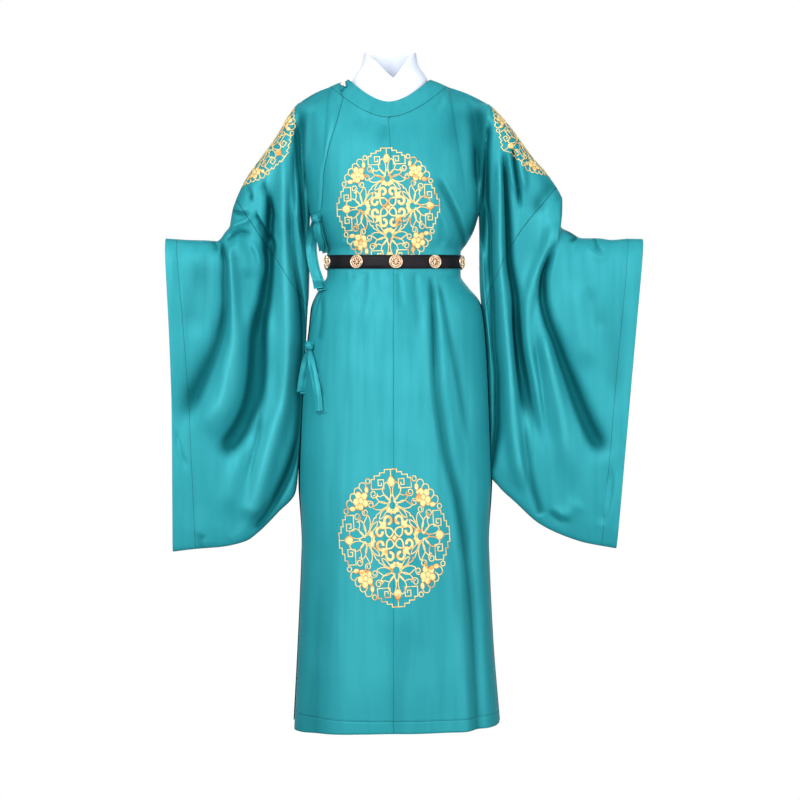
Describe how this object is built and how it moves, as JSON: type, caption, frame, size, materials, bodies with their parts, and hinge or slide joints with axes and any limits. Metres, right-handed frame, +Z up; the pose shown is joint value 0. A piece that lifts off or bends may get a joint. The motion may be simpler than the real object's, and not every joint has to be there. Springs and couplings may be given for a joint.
{
  "type": "worn hanfu robe with belt and crossed inner collar",
  "caption": "Round-collared wide-sleeved satin robe in its worn, hollow form, side-closed with ties, with a plaqued belt and a crossed inner collar.",
  "frame": {"origin": "middle of the neck, level with the points where the collar meets the shoulder lines, where the wearer's shoulders hold the robe up", "axes": "+Z up, -Y the front, +X the wearer's left"},
  "size_m": [1.0061, 0.308, 1.4432],
  "materials": {
    "satin": "teal polyester satin, soft sheen",
    "inner_cotton": "matte white cotton",
    "belt_leather": "black, fine grain, low gloss",
    "plaque_gold": "pale gold openwork",
    "button_pearl": "pearly"
  },
  "bodies": {
    "root": {"front_overlap_panel": "satin", "front_left_panel": "satin", "front_right_panel": "satin", "back_right_panel": "satin", "back_left_panel": "satin", "sleeve_right_upper": "satin", "sleeve_right_lower": "satin", "sleeve_left_upper": "satin", "sleeve_left_lower": "satin", "collar_band": "satin", "button_loop": "satin", "collar_button": "button_pearl", "tie_upper_knot": "satin", "tie_upper_long": "satin", "tie_upper_short": "satin", "tie_lower_knot": "satin", "tie_lower_long": "satin", "tie_lower_short": "satin", "belt_strap": "belt_leather", "belt_plaque_1": "plaque_gold", "belt_plaque_2": "plaque_gold", "belt_plaque_3": "plaque_gold", "belt_plaque_4": "plaque_gold", "belt_plaque_5": "plaque_gold", "belt_plaque_6": "plaque_gold", "belt_plaque_7": "plaque_gold", "belt_plaque_8": "plaque_gold", "belt_plaque_9": "plaque_gold", "inner_collar": "inner_cotton"}
  },
  "joints": []
}
